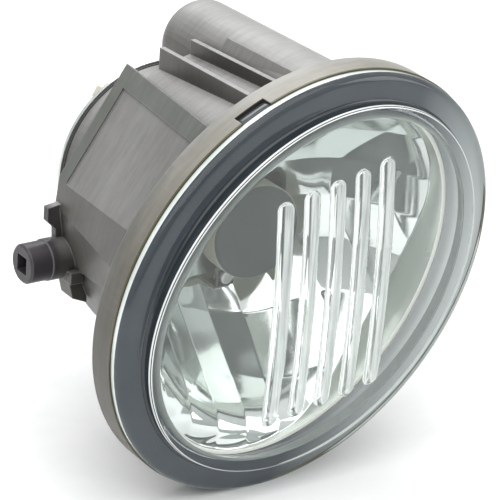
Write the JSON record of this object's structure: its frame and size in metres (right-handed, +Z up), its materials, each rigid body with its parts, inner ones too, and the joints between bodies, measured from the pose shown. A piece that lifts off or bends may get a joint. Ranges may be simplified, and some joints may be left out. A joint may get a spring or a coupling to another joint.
{
  "type": "fog light",
  "caption": "Oval glass fog light with a moulded housing, side pivots, upright lens flutes, a faceted reflector, a shielded bulb, a spring clip and a removable rear cover.",
  "frame": {"origin": "centre of the overall box", "axes": "-Y is the way the light shines, +Y runs to the rear cover, +X is to the right of someone facing the lens, +Z is up"},
  "size_m": [0.117, 0.1046, 0.1158],
  "materials": {
    "housing_plastic": "glass-fibre filled moulding, faint flow streaks, matt",
    "lens_glass": "clear pressed glass, polished",
    "bed_rubber": "black, satin",
    "sealant": "cured sealant bead, olive, satin",
    "mirror_coat": "bright aluminised coat",
    "shield_paint": "dark slate paint, semi-gloss",
    "steel": "bright zinc plated",
    "spring_steel": "drawn wire",
    "bulb_quartz": "clear",
    "tungsten": "drawn wire",
    "contact_brass": "stamped, tinned look",
    "zinc_sheet": "zinc plated sheet",
    "yellow_zinc": "yellow passivated zinc plate",
    "connector_plastic": "black moulding",
    "lead_rubber": "black insulation"
  },
  "bodies": {
    "lamp": {"housing": "housing_plastic", "lens": "lens_glass", "lens_bed": "bed_rubber", "edge_sealant": "sealant", "reflector": "mirror_coat", "bulb_shield": "shield_paint", "shield_rivet": "steel", "bulb_glass": "bulb_quartz", "bulb_filament": "tungsten", "bulb_base": "steel", "bulb_blade": "contact_brass", "clip_ears": "steel", "earth_tab": "contact_brass"},
    "cover": {"rear_cover": "zinc_sheet", "cover_gasket": "bed_rubber", "cover_screws": "yellow_zinc", "connector_shell": "connector_plastic", "connector_pins": "contact_brass", "lead_receptacles": "contact_brass", "leads": "lead_rubber"},
    "clip": {"bulb_clip": "spring_steel"}
  },
  "joints": [
    {"name": "cover_off", "type": "slide", "parent": "lamp", "child": "cover", "axis": [0, 1, 0], "range_m": [0, 0.02]},
    {"name": "clip_swing", "type": "hinge", "parent": "lamp", "child": "clip", "pos_m": [0, 0.0129, 0.018], "axis": [1, 0, 0], "range_deg": [0, 50]}
  ]
}
